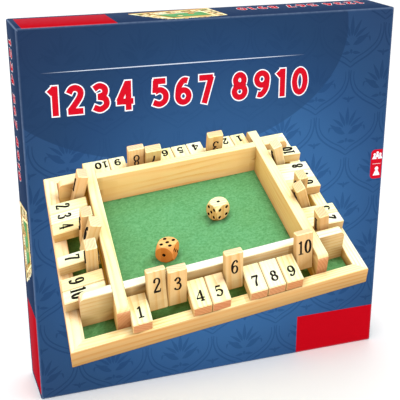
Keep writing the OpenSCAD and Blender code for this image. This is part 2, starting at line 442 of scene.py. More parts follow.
def pine(finish, place, number, along, end, tones=((243, 222, 178), (222, 184, 128)),
         sawn=((232, 194, 152), (204, 156, 112))):
    """Sawn pine, cut from another log for each number, its grain along x or z. Gives the colour
    and the height. The share of end grain, from 0 to 1, makes it darker and redder."""
    log = finish.add("TexWhiteNoise", {"W": number}, noise_dimensions="1D")
    x, y, z = finish.parts(place)
    turned = {0: z, 1: y, 2: x} if along == "z" else {0: x, 1: y, 2: z}
    turned = finish.add("CombineXYZ", turned).outputs[0]
    shift = {0: log.outputs["Color"], 1: (0.4, 0.05, 0.05), 2: turned}
    place = finish.add("VectorMath", shift, operation="MULTIPLY_ADD").outputs[0]
    wander = finish.noise(finish.stretched(place, (5, 45, 45)), 1.0, 2.0)
    across = finish.stretched(place, (0, 1, 1), shift=(0, 0.018, 0.022))
    radius = finish.add("VectorMath", {0: across}, operation="LENGTH").outputs["Value"]
    radius = finish.math("MULTIPLY_ADD", wander, 0.009, radius)
    ring = finish.math("FRACT", finish.math("DIVIDE", radius, 0.0026))
    light, dark = (swatch(*tone) for tone in tones)
    colour = finish.steps(ring, [(0.0, light), (0.45, light), (0.86, dark), (0.95, dark), (1.0, light)])
    figure = finish.add("MapRange", {"Value": finish.noise(place, 16.0), "From Min": 0.4, "From Max": 0.62,
                                     "To Min": 0.25}).outputs["Result"]
    colour = finish.blend(figure, light, colour)
    across_grain = finish.steps(ring, [(0.0, swatch(*sawn[0])), (0.88, swatch(*sawn[1]))])
    colour = finish.blend(end, colour, across_grain)
    fibre = finish.noise(finish.stretched(place, (30, 1500, 1500)), 1.0, 3.0, 0.6)
    slow = finish.noise(place, 25.0, 2.0)
    tone = finish.math("MULTIPLY_ADD", fibre, 0.16, finish.math("MULTIPLY_ADD", slow, 0.10, 0.87))
    colour = finish.blend(1.0, colour, tone, "MULTIPLY")
    tint = finish.steps(log.outputs["Value"], [
        (0.0, swatch(255, 251, 238)), (0.35, swatch(255, 243, 214)), (0.6, swatch(250, 231, 196)),
        (0.8, swatch(255, 233, 214)), (1.0, swatch(248, 224, 184)),
    ])
    colour = finish.blend(1.0, colour, tint, "MULTIPLY")
    return colour, finish.math("MULTIPLY_ADD", ring, 0.4, fibre)


def end_grain(finish, along):
    """1 where a face looks along the grain, 0 elsewhere."""
    x, _, z = finish.parts(finish.add("TexCoord", {}).outputs["Normal"])
    facing = finish.math("ABSOLUTE", z if along == "z" else x)
    return finish.add("MapRange", {"Value": facing, "From Min": 0.76, "From Max": 0.9}).outputs["Result"]


def pine_board(name, along):
    """Bars and walls. Each side's bar and wall have another piece number, by how far out they lie."""
    spacing = 0.0389
    finish = Finish(name)
    place = finish.place()
    x, _, z = finish.parts(place)
    number = finish.math("ROUND", finish.math("DIVIDE", x if along == "z" else z, spacing))
    colour, height = pine(finish, place, number, along, end_grain(finish, along))
    return finish.coat(colour, 0.62, height, 0.00012, 0.7, Specular_IOR_Level=0.35)


def plywood_sheet():
    plies = 3
    low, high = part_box("plywood_base")
    finish = Finish("plywood_sheet")
    place = finish.place()
    _, y, _ = finish.parts(place)
    ply = finish.math("DIVIDE", finish.math("SUBTRACT", y, low.y), (high.y - low.y) / plies)
    middle = finish.math("COMPARE", ply, plies / 2, 0.5)
    veneer = finish.noise(finish.stretched(place, (14, 90, 420)), 1.0, 4.0, 0.6)
    colour = finish.steps(veneer, [(0.3, swatch(224, 190, 138)), (0.7, swatch(240, 214, 168))])
    crossed = finish.noise(finish.stretched(place, (700, 700, 20)), 1.0, 3.0)
    dark = finish.steps(crossed, [(0.3, swatch(168, 122, 76)), (0.7, swatch(196, 150, 100))])
    x, _, z = finish.parts(finish.add("TexCoord", {}).outputs["Normal"])
    edge = finish.math("MAXIMUM", finish.math("ABSOLUTE", x), finish.math("ABSOLUTE", z))
    colour = finish.blend(finish.math("MULTIPLY", middle, edge), colour, dark)
    return finish.coat(colour, 0.7, veneer, 0.00015, 0.6, Specular_IOR_Level=0.3)


finish_nodes([f"{row}_{part}" for row in ROWS[::2] for part in ("bar", "wall")], pine_board("pine_x", "x"))
finish_nodes([f"{row}_{part}" for row in ROWS[1::2] for part in ("bar", "wall")], pine_board("pine_z", "z"))
finish_nodes(["plywood_base"], plywood_sheet())


# Felt
# One square of green wool felt, 211 mm wide and 1 mm thick, glued flat on the plywood. Its face is
# mottled and slightly uneven, and the inner walls stand on it.
def felt_cloth():
    finish = Finish("felt_cloth")
    place = finish.place()
    fluff = finish.noise(place, 650.0, 5.0, 0.75)
    cloud = finish.noise(place, 45.0, 3.0)
    tone = finish.math("MULTIPLY_ADD", fluff, 0.65, finish.math("MULTIPLY", cloud, 0.35))
    colour = finish.steps(tone, [(0.34, swatch(66, 134, 74)), (0.66, swatch(106, 178, 114))])
    return finish.coat(colour, 0.95, fluff, 0.0005, 0.8, Sheen_Weight=0.25, Sheen_Roughness=0.5)


def grid_faces(cells, base=0):
    """Faces of a square grid with that many cells along each side."""
    row = cells + 1
    corners = (0, 1, row + 1, row)
    return [tuple(base + r * row + c + k for k in corners) for r in range(cells) for c in range(cells)]


def felt():
    low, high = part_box("felt_sheet")
    cells = 150
    dip = 0.00008
    span = np.linspace(0, 1, cells + 1)
    points, faces = [], grid_faces(cells)
    for v in span:
        for u in span:
            x, z = low.x + u * (high.x - low.x), low.z + v * (high.z - low.z)
            rough = 0.5 + 0.5 * noise.noise(Vector((x * 420, 0.0, z * 420)))
            inside = 0 < u < 1 and 0 < v < 1
            points.append((x, low.y + (dip * rough if inside else dip / 2), z))
    row = cells + 1
    rim = list(range(row)) + [r * row + cells for r in range(1, row)]
    rim += [cells * row + c for c in reversed(range(cells))] + [r * row for r in reversed(range(1, cells))]
    base = len(points)
    points += [(points[v][0], high.y, points[v][2]) for v in rim]
    count = len(rim)
    faces += [(rim[i], base + i, base + (i + 1) % count, rim[(i + 1) % count]) for i in range(count)]
    faces.append([base + i for i in range(count)])
    piece = new_piece("felt", points, faces, [felt_cloth()], smooth=True)
    turn_outward(piece)
    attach(piece, "game")
    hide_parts("felt_sheet")


felt()


# Screws
# Eight countersunk steel screws with crossed slots, driven up through the plywood and the felt, two
# into the underside of each inner wall.
def screw_steel():
    finish = Finish("screw_steel")
    place = finish.place()
    stain = finish.noise(place, 900.0, 4.0)
    colour = finish.steps(stain, [(0.3, swatch(196, 178, 132)), (0.7, swatch(226, 208, 160))])
    rough = finish.math("MULTIPLY_ADD", stain, 0.25, 0.2)
    return finish.coat(colour, rough, stain, 0.00002, 0.5, Metallic=1.0)


def wood_screw(material):
    """One screw as it is turned on a lathe, its point along -y and its head in the plane of y = 0."""
    head, shank, core, length, pitch = 0.0028, 0.0015, 0.00105, 0.016, 0.0012
    profile = [(0, 0), (0.92 * head, 0), (head, 0.0001), (shank, 0.0013), (shank, 0.0045)]
    for thread in range(8):
        start = 0.0048 + thread * pitch
        profile += [(core, start), (core, start + 0.45 * pitch), (shank, start + 0.72 * pitch)]
    profile += [(core, 0.0146), (0, length)]
    around = 20
    points = [(0, 0, 0)]
    for radius, depth in profile[1:-1]:
        for step in range(around):
            a = math.tau * step / around
            points.append((radius * math.cos(a), -depth, radius * math.sin(a)))
    points.append((0, -length, 0))
    last = len(points) - 1
    faces = [(0, 1 + i, 1 + (i + 1) % around) for i in range(around)]
    for ring in range(len(profile) - 3):
        a, b = 1 + ring * around, 1 + (ring + 1) * around
        faces += [(a + i, b + i, b + (i + 1) % around, a + (i + 1) % around) for i in range(around)]
    faces += [(last, last - around + (i + 1) % around, last - around + i) for i in range(around)]
    screw = new_piece("screw_pattern", points, faces, [material], smooth=False)
    turn_outward(screw)
    wide, narrow, deep = 0.0017, 0.0004, 0.0011
    slots = []
    for x, z in ((wide, narrow), (narrow, wide)):
        corners = [(-1, -1), (1, -1), (1, 1), (-1, 1)]
        bit = [(sx * x * s, y, sz * z * s) for y, s in ((0.0002, 1.05), (-deep, 0.55)) for sx, sz in corners]
        slot_bit = new_piece("screw_slot", bit, prism_faces(4), [material])
        turn_outward(slot_bit)
        slots.append(slot_bit)
    return carved(screw, slots, "DIFFERENCE")


def carved(piece, tools, operation):
    """The plain mesh that is left of a piece once the tools are cut out of it or joined to it."""
    group = bpy.data.collections.new("carving_tools")
    for tool in tools:
        group.objects.link(tool)
    carving = piece.modifiers.new("carving", "BOOLEAN")
    carving.operation = operation
    carving.operand_type = "COLLECTION"
    carving.collection = group
    carving.solver = "EXACT"
    made = bpy.data.meshes.new_from_object(piece.evaluated_get(bpy.context.evaluated_depsgraph_get()))
    for used in [piece, *tools]:
        bpy.data.objects.remove(used)
    bpy.data.collections.remove(group)
    return made


def repeated(name, pattern, spots, sizes, material):
    """Sets a copy of the pattern mesh at each spot, each in its own size, with Geometry Nodes."""
    source = bpy.data.objects.new(name + "_pattern", pattern)
    bpy.context.scene.collection.objects.link(source)
    tree = bpy.data.node_groups.new(name + "_layout", "GeometryNodeTree")
    inputs = {"Spots": "Geometry", "Pattern": "Object", "Size": "Float", "Finish": "Material"}
    for label, kind in inputs.items():
        tree.interface.new_socket(label, in_out="INPUT", socket_type="NodeSocket" + kind)
    tree.interface.new_socket("Geometry", in_out="OUTPUT", socket_type="NodeSocketGeometry")
    given = tree.nodes.new("NodeGroupInput")
    fetch = tree.nodes.new("GeometryNodeObjectInfo")
    own_size = tree.nodes.new("GeometryNodeInputNamedAttribute")
    own_size.inputs["Name"].default_value = "own_size"
    scale = tree.nodes.new("ShaderNodeMath")
    scale.operation = "MULTIPLY"
    lay = tree.nodes.new("GeometryNodeInstanceOnPoints")
    real = tree.nodes.new("GeometryNodeRealizeInstances")
    coat = tree.nodes.new("GeometryNodeSetMaterial")
    result = tree.nodes.new("NodeGroupOutput")
    for start, end in (
        (given.outputs["Spots"], lay.inputs["Points"]),
        (given.outputs["Pattern"], fetch.inputs["Object"]),
        (fetch.outputs["Geometry"], lay.inputs["Instance"]),
        (own_size.outputs["Attribute"], scale.inputs[0]),
        (given.outputs["Size"], scale.inputs[1]),
        (scale.outputs[0], lay.inputs["Scale"]),
        (lay.outputs["Instances"], real.inputs[0]),
        (real.outputs[0], coat.inputs["Geometry"]),
        (given.outputs["Finish"], coat.inputs["Material"]),
        (coat.outputs[0], result.inputs[0]),
    ):
        tree.links.new(start, end)
    holder = new_piece(name, spots, [], [material], [("own_size", "FLOAT", "POINT", sizes)])
    layout = holder.modifiers.new("layout", "NODES")
    layout.node_group = tree
    values = {"Pattern": source, "Size": 1.0, "Finish": material}
    for socket in tree.interface.items_tree:
        if socket.in_out == "INPUT" and socket.name in values:
            layout[socket.identifier] = values[socket.name]
    made = bpy.data.meshes.new_from_object(holder.evaluated_get(bpy.context.evaluated_depsgraph_get()))
    holder.modifiers.remove(layout)
    holder.data = made
    bpy.data.objects.remove(source)
    return holder


def screws():
    material = screw_steel()
    head_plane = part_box("wall_screws")[1].y
    out, aside = 0.077869, 0.048
    spots = [(side * aside, -out) for side in (-1, 1)]
    spots = spots + [(-z, x) for x, z in spots] + [(-x, -z) for x, z in spots] + [(z, -x) for x, z in spots]
    points = [(x, head_plane, box_mid + z) for x, z in spots]
    piece = repeated("countersunk_screws", wood_screw(material), points, [1.0] * len(points), material)
    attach(piece, "game")
    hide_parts("wall_screws")


screws()


# Rods
# Four drawn steel rods, 3 mm thick. Each runs through its row of ten tiles and has its ends in the
# inner walls that cross the row's own.
def drawn_steel():
    finish = Finish("drawn_steel")
    place = finish.place()
    drawn = finish.noise(place, 2400.0, 3.0)
    colour = finish.steps(drawn, [(0.3, swatch(168, 170, 174)), (0.7, swatch(206, 208, 212))])
    rough = finish.math("MULTIPLY_ADD", drawn, 0.2, 0.18)
    return finish.coat(colour, rough, drawn, 0.00001, 0.4, Metallic=1.0)


finish_nodes(["tile_rods"], drawn_steel())


# Tiles
# Forty small blocks of pine with a hole near the inner end, ten to a row, cut so that the grain runs
# along each block.
row_pitch = (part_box("bottom_tile_02")[0].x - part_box("bottom_tile_01")[0].x)


def tile_wood(name, along):
    finish = Finish(name)
    place = finish.place()
    x, _, z = finish.parts(place)
    height = finish.math("SUBTRACT", z, box_mid)
    step, side = (x, height) if along == "z" else (height, x)
    number = finish.math("FLOOR", finish.math("DIVIDE", step, row_pitch))
    number = finish.math("MULTIPLY_ADD", finish.math("SIGN", side), 17.0, number)
    number = finish.math("ADD", number, 50.0 if along == "x" else 0.0)
    colour, height = pine(finish, place, number, along, end_grain(finish, along))
    return finish.coat(colour, 0.58, height, 0.0001, 0.7, Specular_IOR_Level=0.35)


def row_tiles(row):
    return [f"{row}_tile_{i:02d}" for i in range(1, 11)]


for grain, rows in (("z", ROWS[::2]), ("x", ROWS[1::2])):
    finish_nodes([tile for row in rows for tile in row_tiles(row)], tile_wood("tile_pine_" + grain, grain))


# Tile numbers
# Black numbers from 1 to 10, stamped in paint on both broad faces of each tile: one reads when the
# tile lies on its bar, the other when it is tipped up. They have thick stems and thin serifs.
def smooth_line(points, closed, steps=5):
    """Points of a smooth curve through the given ones."""
    count = len(points)
    line = []
    for i in range(count if closed else count - 1):
        near = [(i + k) % count if closed else min(max(i + k, 0), count - 1) for k in (-1, 0, 1, 2)]
        a, b, c, d = (np.array(points[k], float) for k in near)
        for step in range(steps):
            t = step / steps
            bend = (2 * a - 5 * b + 4 * c - d) * t * t + (3 * b - a - 3 * c + d) * t ** 3
            line.append(0.5 * (2 * b + (c - a) * t + bend))
    if not closed:
        line.append(np.array(points[-1], float))
    return np.array(line)


def pen_stroke(points, thick, thin, closed=False):
    """A bead of paint along a line, thick where the pen goes up or down and thin where it goes across."""
    line = smooth_line(points, closed) if len(points) > 2 else np.array(points, float)
    ahead = np.roll(line, -1, 0) - np.roll(line, 1, 0) if closed else np.gradient(line, axis=0)
    ahead /= np.linalg.norm(ahead, axis=1)[:, None]
    half = (thin + (thick - thin) * np.abs(ahead[:, 1]) ** 1.4) / 2
    side = np.column_stack([-ahead[:, 1], ahead[:, 0]]) * half[:, None]
    corners = []
    for left, right in zip(line + side, line - side):
        corners += [(*left, 0), (*right, 0), (*right, 1), (*left, 1)]
    count = len(line)
    faces = []
    for i in range(count if closed else count - 1):
        a, b = 4 * i, 4 * ((i + 1) % count)
        faces += [(a + k, a + (k + 1) % 4, b + (k + 1) % 4, b + k) for k in range(4)]
    if not closed:
        faces += [(3, 2, 1, 0), tuple(4 * count - 4 + k for k in range(4))]
    return corners, faces


def paint_dot(x, y, radius):
    around = 14
    ring = [(x + radius * math.cos(math.tau * i / around), y + radius * math.sin(math.tau * i / around))
            for i in range(around)]
    return [(*p, z) for z in (0, 1) for p in ring], prism_faces(around)


def oval(x, y, wide, high):
    return [(x + wide * math.sin(math.tau * i / 8), y + high * math.cos(math.tau * i / 8)) for i in range(8)]


def numeral_strokes(number):
    """The strokes of a number one unit high: (points, thick, thin, closed) and dots (x, y, radius)."""
    stem, hair, foot = 0.12, 0.04, 0.036

    def curve(*points, thick=stem, thin=hair):
        return list(points), thick, thin, False

    def bar(*points, thick):
        return list(points), thick, thick, False

    def ring(x, y, wide, high, thick=stem):
        return oval(x, y, wide, high), thick, hair, True

    one = [curve((0.27, 0.02), (0.27, 0.97)), curve((0.26, 0.95), (0.12, 0.82), thick=0.07),
           curve((0.10, 0.018), (0.44, 0.018), thick=hair, thin=foot)]
    six = [curve((0.44, 0.86), (0.36, 0.96), (0.22, 0.88), (0.10, 0.62), (0.095, 0.32)),
           ring(0.285, 0.295, 0.175, 0.27)]
    nought = ring(0.29, 0.49, 0.185, 0.465, 0.15)
    strokes = {
        1: one,
        2: [curve((0.10, 0.74), (0.16, 0.90), (0.29, 0.96), (0.43, 0.86), (0.43, 0.66), (0.29, 0.42),
                  (0.09, 0.08)), bar((0.05, 0.055), (0.46, 0.055), thick=0.11),
            bar((0.46, 0.03), (0.50, 0.22), thick=0.045)],
        3: [curve((0.12, 0.83), (0.25, 0.96), (0.40, 0.86), (0.39, 0.66), (0.20, 0.54)),
            curve((0.20, 0.54), (0.40, 0.48), (0.46, 0.27), (0.33, 0.05), (0.10, 0.11))],
        4: [curve((0.37, 0.0), (0.37, 0.97), thick=0.125), bar((0.36, 0.96), (0.03, 0.29), thick=0.05),
            bar((0.02, 0.27), (0.52, 0.27), thick=0.055), bar((0.24, 0.018), (0.50, 0.018), thick=foot)],
        5: [bar((0.12, 0.925), (0.44, 0.925), thick=0.10), bar((0.135, 0.93), (0.11, 0.52), thick=0.045),
            curve((0.11, 0.54), (0.27, 0.61), (0.44, 0.48), (0.45, 0.26), (0.31, 0.04), (0.10, 0.10))],
        6: six,
        7: [bar((0.07, 0.915), (0.48, 0.915), thick=0.105), bar((0.075, 0.95), (0.06, 0.74), thick=0.045),
            curve((0.46, 0.90), (0.35, 0.66), (0.25, 0.36), (0.22, 0.01), thin=0.06)],
        8: [ring(0.28, 0.73, 0.145, 0.21), ring(0.28, 0.27, 0.185, 0.245)],
        9: [([(0.56 - x, 0.97 - y) for x, y in points], *pen) for points, *pen in six],
        10: [([(x - 0.09, y) for x, y in points], *pen) for points, *pen in one]
        + [([(x + 0.42, y) for x, y in nought[0]], *nought[1:])],
    }
    dots = {
        2: [(0.115, 0.74, 0.07)], 3: [(0.115, 0.82, 0.068), (0.105, 0.14, 0.068)],
        5: [(0.105, 0.13, 0.068)], 6: [(0.435, 0.84, 0.062)], 9: [(0.125, 0.13, 0.062)],
    }
    return strokes[number], dots.get(number, [])


def numeral(number):
    """A number as one closed solid, one unit high and one unit deep, centred on its middle."""
    strokes, dots = numeral_strokes(number)
    beads = [pen_stroke(*stroke) for stroke in strokes] + [paint_dot(*dot) for dot in dots]
    solids = []
    for points, faces in beads:
        solids.append(new_piece("bead", points, faces, []))
        turn_outward(solids[-1])
    mesh = carved(solids[0], solids[1:], "UNION") if solids[1:] else solids[0].data
    points = np.array([v.co for v in mesh.vertices])
    middle = (points.min(0) + points.max(0)) / 2
    points[:, :2] -= middle[:2]
    return points, [tuple(p.vertices) for p in mesh.polygons]


def black_paint():
    finish = Finish("black_paint")
    thin = finish.noise(finish.place(), 1800.0, 3.0)
    colour = finish.steps(thin, [(0.35, swatch(22, 20, 19)), (0.75, swatch(52, 44, 38))])
    return finish.coat(colour, 0.45, thin, 0.00002, 0.5, Specular_IOR_Level=0.4)


numerals = {number: numeral(number) for number in range(1, 11)}
numeral_high = 0.0114
number_in = 0.0100
paint_low, paint_high = -0.00010, 0.00002


tile_thick, tile_reach, tile_slope = 0.0086, 0.0216, 4


def tile_directions(row, i):
    """A tile's middle on its rod, and the directions across it, towards the rod and out of its face."""
    slope = math.radians(tile_slope)
    hinge = next(j for j in frame["joints"] if j["name"] == f"{row}_tile_{i:02d}_hinge")
    across = -Vector(hinge["axis"])
    up = Vector((0, -1, 0))
    inward = up.cross(across)
    along = inward * math.cos(slope) + up * math.sin(slope)
    return Vector(hinge["pos_m"]), across, along, across.cross(along)


def tile_faces_numbers(row, i):
    """Points and faces of the number on a tile's upper face and on its lower face."""
    spot, across, along, out = tile_directions(row, i)
    shape, shape_faces = numerals[i]
    points, faces = [], []
    for side in (1, -1):
        centre = spot - along * (tile_reach - number_in) + out * side * tile_thick / 2
        base = len(points)
        for x, y, z in shape:
            lift = paint_low + z * (paint_high - paint_low)
            points.append(centre + across * x * numeral_high + side * (along * y * numeral_high + out * lift))
        faces += [tuple(base + v for v in face) for face in shape_faces]
    return points, faces


def tile_numbers():
    paint = black_paint()
    for row in ROWS:
        for i in range(1, 11):
            tile = f"{row}_tile_{i:02d}"
            piece = new_piece(tile + "_numbers", *tile_faces_numbers(row, i), [paint])
            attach(piece, tile)


tile_numbers()


# Dice
# Two small dice of oiled wood with their corners ground round and black pips drilled in. They lie
# on the lower inner wall, where they have slid to as the box stands on edge.
def die_wood(name, place_of):
    finish = Finish(name)
    place = place_of(finish)
    x, _, _ = finish.parts(place)
    number = finish.math("FLOOR", finish.math("MULTIPLY", x, 13.0))
    colour, height = pine(finish, place, number, "x", 0.25, ((232, 192, 140), (200, 148, 96)))
    painted = finish.math("LESS_THAN", finish.attribute("pip"), 0.96)
    colour = finish.blend(painted, colour, swatch(24, 20, 18))
    return finish.coat(colour, 0.42, height, 0.00006, 0.6, Specular_IOR_Level=0.45)


def die_form(centre, across, up, cells=40, pip=0.0013):
    """Points, faces and distances from the nearest pip, for a die with six opposite one."""
    half, edge, ball = 0.0075, 0.0006, 0.01049
    deep, apart = 0.0005, 0.00375
    bowl = (pip * pip + deep * deep) / (2 * deep)
    out = across.cross(up)
    eyes = {
        1: [(0, 0)], 2: [(-1, 1), (1, -1)], 3: [(0, 0), (-1, 1), (1, -1)],
        4: [(-1, 1), (1, -1), (1, 1), (-1, -1)], 5: [(0, 0), (-1, 1), (1, -1), (1, 1), (-1, -1)],
        6: [(-1, 1), (1, -1), (1, 1), (-1, -1), (-1, 0), (1, 0)],
    }
    sides = {
        1: (across, up), 6: (across, -up), 2: (across, out), 5: (across, -out), 3: (-out, up), 4: (out, up),
    }
    bent = np.linspace(-1, 1, cells + 1)
    bent = half * np.sign(bent) * (1 - (1 - np.abs(bent)) ** 1.12)
    points, pips, faces = [], [], []
    for eye, (right, top) in sides.items():
        front = right.cross(top)
        base = len(points)
        for v in bent:
            for u in bent:
                from_pip = min(math.hypot(u - a * apart, v - b * apart) for a, b in eyes[eye])
                sunk = max(math.sqrt(max(bowl * bowl - from_pip * from_pip, 0)) - (bowl - deep), 0)
                spot = Vector((u, v, half - sunk))
                core = Vector([max(min(c, half - edge), edge - half) for c in spot])
                rim = spot - core
                if rim.length > edge:
                    spot = core + rim.normalized() * edge
                if spot.length > ball:
                    spot = spot.normalized() * ball
                points.append(centre + right * spot.x + top * spot.y + front * spot.z)
                pips.append(min(from_pip / pip, 2.0))
        faces += grid_faces(cells, base)
    return points, faces, pips


def weld(piece, gap=0.000001):
    """Joins the points of a piece that lie on each other, and points its faces outwards."""
    form = bmesh.new()
    form.from_mesh(piece.data)
    bmesh.ops.remove_doubles(form, verts=form.verts, dist=gap)
    bmesh.ops.recalc_face_normals(form, faces=form.faces)
    form.to_mesh(piece.data)
    form.free()


def dice():
    wood = die_wood("die_oiled_wood", Finish.place)
    out = Vector((0, -1, 0))
    right, top = Vector((1, 0, 0)), Vector((0, 0, 1))
    for name, across, up in (("die_1", right, top), ("die_2", top, out)):
        low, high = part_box(name)
        points, faces, pips = die_form((low + high) / 2, across, up)
        from_pip = ("pip", "FLOAT", "POINT", pips)
        piece = new_piece(name + "_wood", points, faces, [wood], [from_pip], smooth=True)
        weld(piece)
        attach(piece, name)
        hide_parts(name)


dice()


# Card lid
# The upper half of the box: the same grey board as the base, wrapped in one printed sheet of satin
# paper. The sheet turns in over the rim, and its ink is lighter along the folds: a little rubbed, with a
# painted highlight on each fold.
cover_fold = 0.0012
side_label_back = 0.0175


def cover_ink(finish, printed_over=None):
    """The printed ground: blue that lightens towards the middle, a darker oval above, navy sides and
    a bare red label in one corner of every face."""
    place = finish.place()
    x, y, z = finish.parts(place)
    height = finish.math("SUBTRACT", z, box_mid)
    glow_x, glow_z, reach = 0.010, 0.130, 1 / 0.22
    glow = finish.stretched(place, (reach, 0, reach), shift=(-glow_x * reach, 0, -glow_z * reach))
    glow = finish.add("VectorMath", {0: glow}, operation="LENGTH").outputs["Value"]
    colour = finish.steps(glow, [
        (0.3, swatch(56, 100, 151)), (0.46, swatch(53, 94, 141)), (0.64, swatch(45, 79, 122)),
        (0.75, swatch(43, 73, 111)), (1.0, swatch(42, 64, 98)),
    ])
    oval_left, oval_up, oval_high, oval_wide = 0.0364, 0.287, 0.0935, 0.1465
    shift = (oval_left / oval_wide, 0, -oval_up / oval_high)
    oval = finish.stretched(place, (1 / oval_wide, 0, 1 / oval_high), shift=shift)
    oval = finish.add("VectorMath", {0: oval}, operation="LENGTH").outputs["Value"]
    inside = finish.add("MapRange", {"Value": oval, "From Min": 1.0, "From Max": 0.994}).outputs["Result"]
    colour = finish.blend(inside, colour, swatch(222, 220, 222), "MULTIPLY")
    if printed_over:
        colour = finish.blend(1.0, colour, finish.blend(inside, *printed_over), "MULTIPLY")
    is_side = finish.math("GREATER_THAN", y, cover_y + 0.3 * cover_fold)
    colour = finish.blend(is_side, colour, swatch(37, 56, 88))
    upright = finish.math("GREATER_THAN", finish.math("ABSOLUTE", x), finish.math("ABSOLUTE", height))
    down = finish.math("MULTIPLY", finish.math("SIGN", x), height)
    along = finish.math("MULTIPLY", finish.math("SIGN", height), finish.math("MULTIPLY", x, -1.0))
    run = finish.add("Mix", {0: upright, 2: along, 3: down}, data_type="FLOAT").outputs[0]
    label_middle, label_half, label_left, label_top = 0.111, 0.0345, 0.076, 0.036
    in_length = finish.math("COMPARE", run, label_middle, label_half)
    side_label = finish.math("MULTIPLY", finish.math("LESS_THAN", y, side_label_back), in_length)
    side_label = finish.math("MULTIPLY", is_side, side_label)
    at_corner = finish.math("GREATER_THAN", x, label_left), finish.math("LESS_THAN", z, label_top)
    front_label = finish.math("MULTIPLY", *at_corner)
    front_label = finish.math("MULTIPLY", front_label, finish.math("SUBTRACT", 1.0, is_side))
    label = finish.math("MAXIMUM", side_label, front_label)
    return finish.blend(label, colour, swatch(184, 9, 24))


def printed(finish, colour):
    """Matt ink of that colour on the wrap."""
    height = paper_fibre(finish, finish.place())
    return finish.coat(colour, 0.6, height, 0.00005, 0.4, Specular_IOR_Level=0.0)


def printed_paper():
    finish = Finish("printed_paper")
    place = finish.place()
    colour = cover_ink(finish)
    # Lighter along the folds: partly rubbed ink, partly a painted highlight on each fold.
    rubbed_and_highlight = finish.math("MULTIPLY", finish.attribute("fold_wear_and_highlight"), finish.noise(place, 260.0, 4.0, 0.7))
    share = finish.math("MULTIPLY", rubbed_and_highlight, 0.8)
    return printed(finish, finish.blend(share, colour, swatch(150, 168, 196)))


def card_lid():
    low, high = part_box("box_lid")
    half = (high.x - low.x) / 2
    front, rim = low.y, high.y
    fold, lip = cover_fold, 0.0004
    rings = [
        (half - card, 0.0003, front + card, -1),
        (half - card, 0.0003, rim - turn_in, 0),
        (half - card, 0.0003, rim - lip, 0),
        (half - card + lip, 0.0006, rim, 0.7),
        (half - lip, 0.0010, rim, 0.7),
        (half, 0.0012, rim - lip, 0.2),
        (half, 0.0012, front + 1.5 * fold, 0),
        (half, 0.0012, front + fold, 0.15),
        (half - 0.3 * fold, 0.0010, front + 0.3 * fold, 0.6),
        (half - fold, 0.0008, front, 0.15),
        (half - 1.5 * fold, 0.0006, front, -1),
    ]
    sheets = [1, 2, 2, 2, 0, 0, 0, 0, 0, 0]
    piece = folded_card("lid_shell", rings, [printed_paper(), lining_paper(), wrap_paper()], sheets)
    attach(piece, "lid")
    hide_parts("box_lid")


card_lid()


# Damask
# A damask of scallops with double lines, each with a palmette in it, printed all over the cover in a
# slightly darker blue. It stops at the edges of the cover and is fainter on the dark oval.
ink_levels = {"damask": 0.00001, "line": 0.00002, "outline": 0.00002, "figure": 0.00004}
ink_thick = 0.000012


def damask_ink():
    finish = Finish("damask_ink")
    return printed(finish, cover_ink(finish, (swatch(222, 228, 234), swatch(246, 248, 250))))


def leaf(x, y, turn, length, width, bend=0.0, points=7):
    """Outline of a leaf that grows from a point, turned from upright and bent to one side."""
    a = math.radians(turn)
    sides = ([], [])
    for step in range(points + 1):
        t = step / points
        half = width / 2 * math.sin(math.pi * t ** 0.75)
        middle = bend * t * t
        for side, sign in zip(sides, (1, -1)):
            u, v = middle + sign * half, t * length
            side.append((x + u * math.cos(a) + v * math.sin(a), y - u * math.sin(a) + v * math.cos(a)))
    return sides[0] + sides[1][-2:0:-1]


def damask_motif():
    """One scallop and its palmette in millimetres round the foot of its fan, as outlines."""
    shapes = []
    for turn, length, width in ((0, 16.5, 3.4), (20, 15.0, 2.9), (40, 13.0, 2.6), (61, 11.0, 2.3)):
        for side in ((1,) if turn == 0 else (1, -1)):
            a = math.radians(side * turn)
            foot = (5.0 * math.sin(a), -7.5 + 5.0 * math.cos(a))
            shapes.append(leaf(*foot, side * turn, length, width, side * 0.07 * turn))
    for side in (1, -1):
        shapes.append(leaf(side * 1.3, -9.3, side * 68, 17, 4.4, -side * 3.5))
        shapes.append(leaf(side * 15.2, -2.6, side * 150, 5, 1.6, side * 1.5))
        shapes.append(leaf(side * 1.0, -15.5, side * 90, 7.5, 2.6, side * 0.8))
        shapes.append(leaf(0, 19.5, side * 62, 6.5, 2.0, side * 1.2))
    shapes.append(leaf(0, -12.6, 180, 4.2, 2.2))
    shapes.append(leaf(0, 17.0, 0, 5.5, 2.4))
    scallops = [
        ([(28.0, 7.0), (28.1, -1), (24.6, -10.3), (15.8, -18.0), (6.4, -23.2), (0, -27.4)], 1.4),
        ([(25.3, 6), (25.0, -1.5), (21.4, -8.8), (13.4, -15.2), (5.0, -19.6), (0, -23.4)], 1.1),
    ]
    for points, width in scallops:
        line = smooth_line(points, False, 4)
        ahead = np.gradient(line, axis=0)
        ahead /= np.linalg.norm(ahead, axis=1)[:, None]
        taper = 0.35 + 0.65 * np.sin(np.linspace(0.35, math.pi - 0.5, len(line)))
        side = np.column_stack([-ahead[:, 1], ahead[:, 0]]) * (width / 2 * taper)[:, None]
        outline = [tuple(p) for p in line + side] + [tuple(p) for p in (line - side)[::-1]]
        shapes += [outline, [(-u, v) for u, v in outline[::-1]]]
    return shapes


